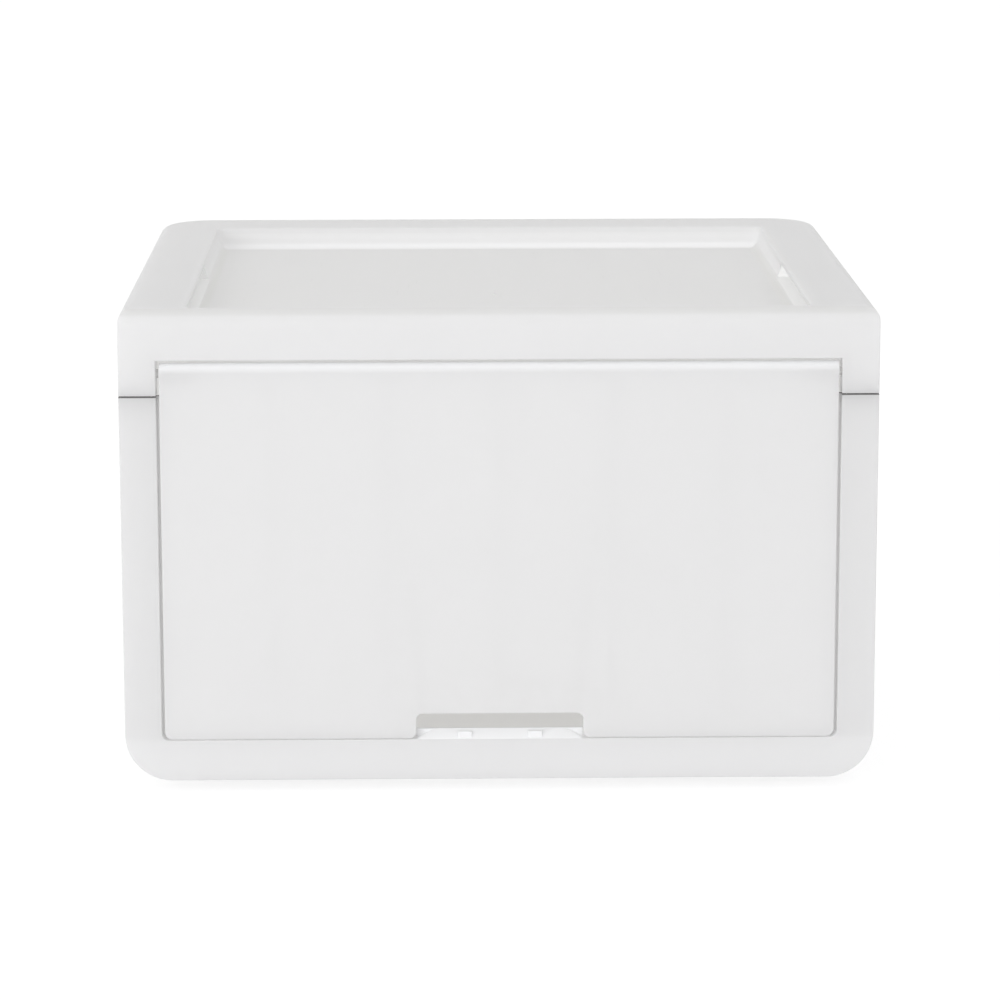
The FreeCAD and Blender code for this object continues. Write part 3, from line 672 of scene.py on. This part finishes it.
@dataclass
class Studio:
    """Pale floor, even sky, one soft lamp and the camera.

    Attributes:
        reach: Half the width of the floor in metres.
        drop: Depth of the floor below the part's lowest plane.
        tooth: Width of the floor's fine texture in metres.
        paper_dark: Linear colour of the floor in the hollows of its texture.
        paper_light: Linear colour of the floor on the crests of its texture.
        paper_seen: Linear colour of the floor to the camera, which carries the shadow.
        paper_glow: Light that the camera sees on top of it, which makes the floor white.
        paper_roughness: Roughness of the floor.
        sky: Strength of the light from the horizon.
        zenith: Strength of the light from straight above.
        lamp: Soft lamp in front of the box and to its left.
        target: Point at which the lamp aims.
        eye: Place of the camera.
        pitch: Angle of the camera below the horizon, in radians.
        yaw: Angle of the camera to the right of +Y, in radians.
        roll: Turn of the camera about its view line, in radians.
        focal: Focal length in image widths.
        bounces: Number of times that light is followed inside the white box.
    """

    reach: float = 14.0
    drop: float = 0.05 * MM
    tooth: float = 4 * MM
    paper_dark: Colour = (0.92, 0.92, 0.93)
    paper_light: Colour = (0.95, 0.95, 0.96)
    paper_seen: Colour = (0.32, 0.32, 0.32)
    paper_glow: Colour = (0.76, 0.76, 0.76)
    paper_roughness: float = 0.9
    sky: float = 0.89
    zenith: float = 0.83
    lamp: Lamp = Lamp("front_lamp", place=(-3.3, -5.0, 1.6), size=2.9, power=101.0)
    target: Point = (0.0, 0.0, 0.13)
    eye: Point = (-0.0366, -2.2230, 0.5651)
    pitch: float = 0.1975
    yaw: float = 0.0181
    roll: float = -0.0014
    focal: float = 3.927
    bounces: int = 16

    def paper(self) -> bpy.types.Material:
        """Matt pale paper that stays white to the camera and keeps the shadow.

        Returns:
            The floor's material.
        """
        bench = Bench(bpy.data.materials.new("floor_paper"))
        seen = bench.node("ShaderNodeLightPath", output="Is Camera Ray")
        lit = bench.blend(bench.noise(self.tooth, detail=3.0), self.paper_dark, self.paper_light)
        shader = bench.node(
            "ShaderNodeBsdfPrincipled",
            None,
            {
                "Base Color": bench.blend(seen, lit, self.paper_seen),
                "Roughness": self.paper_roughness,
                "Specular IOR Level": 0.0,
                "Emission Color": bench.blend(seen, (0.0, 0.0, 0.0), self.paper_glow),
                "Emission Strength": 1.0,
            },
        )
        return bench.finish(shader)

    def floor(self) -> None:
        """Flat square floor under the box."""
        side = np.array([-1.0, 1.0]) * self.reach
        across, along = np.meshgrid(side, side)
        spots = np.stack([across, along, np.full_like(across, -self.drop)], axis=-1).reshape(-1, 3)
        mesh = bpy.data.meshes.new("floor")
        mesh.from_pydata(spots, [], np.array([[0, 1, 3, 2]]))
        mesh.materials.append(self.paper())
        ground = bpy.data.objects.new("floor", mesh)
        bpy.context.scene.collection.objects.link(ground)

    def world(self) -> None:
        """White sky, a little weaker overhead than at the horizon, white to the camera."""
        bench = Bench(bpy.data.worlds.new("even_sky"))
        seen = bench.node("ShaderNodeLightPath", output="Is Camera Ray")
        level = bench.node(
            "ShaderNodeMapRange",
            None,
            {"Value": bench.place(2), "To Min": self.sky, "To Max": self.zenith},
        )
        strength = bench.node("ShaderNodeMix", None, {0: seen, 2: level, 3: 1.0})
        white = {"Color": (1.0, 1.0, 1.0, 1.0), "Strength": strength}
        bpy.context.scene.world = bench.finish(bench.node("ShaderNodeBackground", None, white))

    def camera(self) -> None:
        """Camera from its place, pitch, yaw and roll, with the focal length in image widths."""
        ahead = Vector(
            (
                math.sin(self.yaw) * math.cos(self.pitch),
                math.cos(self.yaw) * math.cos(self.pitch),
                -math.sin(self.pitch),
            )
        )
        side = Vector((math.cos(self.yaw), -math.sin(self.yaw), 0.0))
        up = side.cross(ahead)
        right = math.cos(self.roll) * side + math.sin(self.roll) * up
        top = math.cos(self.roll) * up - math.sin(self.roll) * side
        lens = bpy.data.cameras.new("camera")
        lens.sensor_fit = "HORIZONTAL"
        lens.sensor_width = 36.0
        lens.lens = self.focal * lens.sensor_width
        lens.clip_start = 0.01
        lens.clip_end = 100.0
        holder = bpy.data.objects.new("camera", lens)
        turn = Matrix((right, top, -ahead)).transposed()
        holder.matrix_world = Matrix.Translation(Vector(self.eye)) @ turn.to_4x4()
        bpy.context.scene.collection.objects.link(holder)
        bpy.context.scene.camera = holder

    def build(self) -> None:
        """Set up the floor, the light and the camera."""
        self.floor()
        self.world()
        self.lamp.build(self.target)
        self.camera()
        scene = bpy.context.scene
        scene.view_settings.view_transform = "Standard"
        scene.cycles.max_bounces = 2 * self.bounces
        scene.cycles.diffuse_bounces = self.bounces
        scene.cycles.transmission_bounces = self.bounces
        log.info("studio ready")


@dataclass
class StorageBox:
    """The whole box: tub, cover, flap and the two pins that carry it.

    Attributes:
        tub_tone: Linear brightness of the tub's plastic, set darker than the flap's as a painted
            shade.
        cover_tone: Linear brightness of the cover's plastic, set lighter than the flap's as a
            painted light.
        flap_tone: Linear brightness of the flap's plastic.
        cool: Extra blue in each of them.
        cloudy: Brightness of the flow clouds as a share of the clean plastic.
        roughness: Roughness of the grained plastic.
        tray: Floor of the tray, where a stacked box rubs.
        foot: Underside of the plateau.
        grip: Where fingers lift the flap.
        inside: Inner faces, painted lighter than the plastic as a painted light for the shaded
            inside.
        floor: Floor and plateau, which the table shades from below, painted lighter than the tub as
            a painted light.
        rail: Front of the low rail, painted lighter than the tub as a painted light.
        ramp: Sloped ramp under the finger notch, painted nearly white as a painted highlight.
        nubs: Two nubs on the ramp, painted nearly white as a painted highlight.
        seam_painted_shade: Seam between tub and cover, painted near black as a painted shade in the
            gap.
        roll: Rounded top of the flap, painted nearly white as a painted highlight.
        crest_painted_shade: Upper half of the header's rounding, painted darker as a painted shade.
        walls: Walls of the tray, painted lighter than the cover as a painted light.
        wall_foot_painted_shade: Rounded foot of the tray's side walls, painted darker as a painted
            shade.
        back_foot_painted_highlight: Rounded foot of the tray's back wall, painted nearly white as a
            painted highlight.
        slot_faces_painted_light: Inner faces of the two slots beside the tray, painted lighter as a
            painted light.
        slot_lip_painted_shade: Edges of the rim above the slots, painted darker as a painted shade.
    """

    # One white plastic in three tones: the tub's darker tone is painted shade and the cover's
    # lighter tone is painted light.
    tub_tone: float = 0.863
    cover_tone: float = 0.906
    flap_tone: float = 0.895
    cool: float = 0.006
    cloudy: float = 0.984
    roughness: float = 0.62
    tray: Zone = Zone((-0.150, -0.165, 0.244), (0.150, 0.130, 0.250), 6 * MM)
    foot: Zone = Zone((-0.16, -0.17, -0.001), (0.16, 0.15, 0.003), 2 * MM)
    grip: Zone = Zone((-0.05, -0.192, 0.025), (0.05, -0.178, 0.055), 14 * MM)
    # Painted light: the inner faces are painted lighter so that the shaded inside reads brighter.
    inside: Patch = Patch(
        Zone((-0.1983, -0.1805, 0.0015), (0.1983, 0.1883, 0.2462), 0.5 * MM, radius=31.5 * MM),
        (0.98, 0.98, 0.975),
    )
    # Painted light: the floor and plateau are painted lighter than the tub.
    floor: Patch = Patch(
        Zone((-0.19, -0.165, -0.01), (0.19, 0.18, 0.011), 1.5 * MM), (0.975, 0.97, 0.96), thin=0.0
    )
    # Painted light: the rail's front is painted lighter than the tub.
    rail: Patch = Patch(
        Zone((-0.2, -0.2, 0.002), (0.2, -0.187, 0.0275), 2 * MM), (0.885, 0.885, 0.89), thin=0.36
    )
    # Painted highlight: the ramp is painted nearly white.
    ramp: Patch = Patch(
        Zone((-0.0440, -0.1898, 0.0281), (0.0440, -0.1838, 0.0400), 0.3 * MM),
        (0.955, 0.96, 0.97),
        thin=0.10,
        gloss=0.2,
    )
    # Painted highlight: the nubs are painted nearly white.
    nubs: Patch = Patch(
        Zone((0.0148, -0.1900, 0.0290), (0.0227, -0.1865, 0.0335), 0.3 * MM, both=True),
        (0.94, 0.945, 0.955),
        thin=0.14,
    )
    # Painted shade: a thin band along the seam is painted near black.
    seam_painted_shade: Patch = Patch(
        Zone((-0.2002, -0.1902, 0.21365), (0.2002, 0.1902, 0.2146), 0.05 * MM),
        (0.12, 0.12, 0.118),
        thin=0.2,
    )
    # Painted highlight: the flap's rounded top is painted nearly white.
    roll: Patch = Patch(
        Zone((-0.18, -0.1905, 0.2306), (0.18, -0.178, 0.236), 4.8 * MM),
        (0.95, 0.955, 0.965),
        thin=0.10,
        gloss=0.22,
    )
    # Painted shade: the upper half of the header's rounding is painted darker.
    crest_painted_shade: Patch = Patch(
        Zone((-0.2, -0.1905, 0.2578), (0.2, -0.1835, 0.2602), 2 * MM), (0.815, 0.815, 0.81)
    )
    # Painted light: the tray's walls are painted lighter than the cover.
    walls: Patch = Patch(
        Zone((-0.18, -0.180, 0.2486), (0.18, 0.145, 0.2565), 0.5 * MM),
        (0.93, 0.93, 0.935),
        thin=0.32,
    )
    # Painted shade: the rounded foot of the tray's side walls is painted darker.
    wall_foot_painted_shade: Patch = Patch(
        Zone((0.1590, -0.174, 0.2470), (0.1597, 0.132, 0.2497), 3.5 * MM, both=True),
        (0.862, 0.862, 0.85),
        thin=0.38,
    )
    # Painted highlight: the rounded foot of the tray's back wall is painted nearly white.
    back_foot_painted_highlight: Patch = Patch(
        Zone((-0.160, 0.1370, 0.2484), (0.160, 0.1410, 0.2512), 1 * MM),
        (0.96, 0.96, 0.965),
        thin=0.14,
    )
    # Painted light: the inner faces of the slots are painted lighter than the cover.
    slot_faces_painted_light: Patch = Patch(
        Zone((0.1614, -0.1785, 0.2500), (0.1702, -0.0058, 0.2573), 0.15 * MM, both=True),
        (0.935, 0.935, 0.93),
        thin=0.03,
    )
    # Painted shade: the rim's edges above the slots are painted darker.
    slot_lip_painted_shade: Patch = Patch(
        Zone((0.1635, -0.176, 0.2572), (0.1652, -0.0065, 0.2592), 0.4 * MM, both=True),
        (0.80, 0.80, 0.80),
    )

    def plastic(self, name: str, tone: float, **zones: tuple[Zone | Patch, ...]) -> MouldedPlastic:
        """White plastic of one moulding.

        Args:
            name: Name of the material.
            tone: Linear brightness of the clean plastic.
            zones: Its handled and scuffed zones and its patches of painted light and painted shade.

        Returns:
            The finish, slightly cool, with flow clouds a little darker.
        """
        clean = (tone, tone, tone + self.cool)
        cloud = tuple(self.cloudy * part for part in clean)
        return MouldedPlastic(name, clean, cloud, self.roughness, **zones)

    def shells(self) -> list[Shell]:
        """Pieces of the box in the order in which they are built."""
        # Patches of painted light, painted highlights and painted shade for the tub, the tray and
        # the slots.
        tub_patches = (self.inside, self.floor, self.rail, self.ramp, self.nubs, self.seam_painted_shade)
        tray_patches = (self.crest_painted_shade, self.walls, self.wall_foot_painted_shade, self.back_foot_painted_highlight)
        slot_patches = (self.slot_faces_painted_light, self.slot_lip_painted_shade)
        body = self.plastic(
            "tub_plastic",
            self.tub_tone,
            handled=(self.grip,),
            scuffed=(self.foot,),
            patches=tub_patches,
        )
        cover = self.plastic(
            "cover_plastic",
            self.cover_tone,
            scuffed=(self.tray,),
            patches=(self.inside, *tray_patches, *slot_patches, self.seam_painted_shade),
        )
        door = self.plastic(
            "door_plastic", self.flap_tone, handled=(self.grip,), patches=(self.inside, self.roll)
        )
        pin = MouldedPlastic(
            name="pin_finish",
            colour=(0.84, 0.84, 0.83),
            shade=(0.82, 0.82, 0.81),
            roughness=0.4,
            relief=0.004 * MM,
        )
        return [
            Shell("body_tub", "tub", Body.BOX, Slot.WHITE, body),
            Shell("top_cover", "cover", Body.BOX, Slot.WHITE, cover),
            Shell("front_flap", "flap", Body.FLAP, Slot.FLAP, door),
            Shell("hinge_pin_left", "pin_left", Body.FLAP, Slot.PIN, pin, edge=0.0),
            Shell("hinge_pin_right", "pin_right", Body.FLAP, Slot.PIN, pin, edge=0.0),
        ]

    def build(self) -> None:
        """Build every piece of the box."""
        for shell in self.shells():
            shell.build()


def main() -> None:
    """Build the box and its studio."""
    logging.basicConfig(level=logging.INFO, format="%(name)s: %(message)s")
    StorageBox().build()
    Studio().build()


if __name__ == "__main__":
    main()
